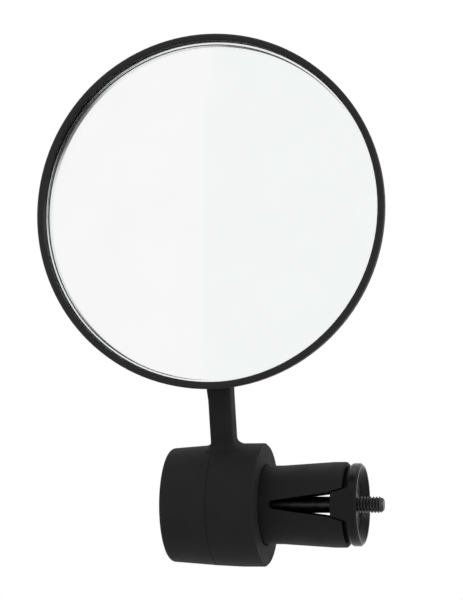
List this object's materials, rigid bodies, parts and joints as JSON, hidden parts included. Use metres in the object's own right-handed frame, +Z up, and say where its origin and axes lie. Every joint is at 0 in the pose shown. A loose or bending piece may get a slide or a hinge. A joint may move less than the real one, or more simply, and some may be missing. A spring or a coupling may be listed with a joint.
{
  "type": "motorcycle bar end mirror",
  "caption": "Round convex mirror on a short ball-jointed stem, held in the end of a hollow handlebar by an expanding plug and turned about the bar on its hub.",
  "frame": {"origin": "centre of the hub's inner face on the bar's axis, where the end of the handlebar meets the hub", "axes": "+X runs into the handlebar along the plug's axis, +Z is up towards the mirror's centre, and the mirror faces -Y"},
  "size_m": [0.08, 0.0314, 0.1196],
  "materials": {
    "mirror": "convex second-surface mirror glass with a ground edge",
    "foam": "black double-sided foam tape",
    "black_plastic": "moulded black nylon, fine matt texture",
    "steel": "bright zinc-plated steel",
    "black_steel": "blackened steel with cut threads",
    "nylon": "natural nylon liner",
    "rubber": "thin black fibre-rubber friction washer"
  },
  "bodies": {
    "plug": {"expander_sleeve": "black_plastic", "friction_washer": "rubber"},
    "cone": {"cone_nut": "black_plastic", "hex_nut": "black_steel"},
    "screw": {"expander_screw": "black_steel", "spring_washer": "steel"},
    "arm": {"arm": "black_plastic", "end_cap": "black_plastic", "plain_washer": "steel"},
    "seat": {"ball_seat": "nylon"},
    "head": {"mirror_shell": "black_plastic", "mirror_glass": "mirror", "glass_pad": "foam", "ball_clamp": "black_plastic", "clamp_screws": "steel"}
  },
  "joints": [
    {"name": "arm_swivel", "type": "hinge", "parent": "plug", "child": "arm", "pos_m": [0, 0, 0], "axis": [1, 0, 0], "continuous": true},
    {"name": "head_swivel", "type": "hinge", "parent": "arm", "child": "seat", "pos_m": [-0.009, -0.0069, 0.0335], "axis": [0, 0, 1], "continuous": true},
    {"name": "head_tilt", "type": "hinge", "parent": "seat", "child": "head", "pos_m": [-0.009, -0.0069, 0.0335], "axis": [1, 0, 0], "range_deg": [-20, 10]},
    {"name": "screw_turn", "type": "hinge", "parent": "plug", "child": "screw", "pos_m": [0, 0, 0], "axis": [-1, 0, 0], "range_deg": [0, 1440]},
    {"name": "cone_slide", "type": "slide", "parent": "plug", "child": "cone", "axis": [1, 0, 0], "range_m": [0, 0.0028]}
  ],
  "couplings": [
    {"joint": "screw_turn", "follows": "cone_slide", "rad_per_m": 8976}
  ]
}
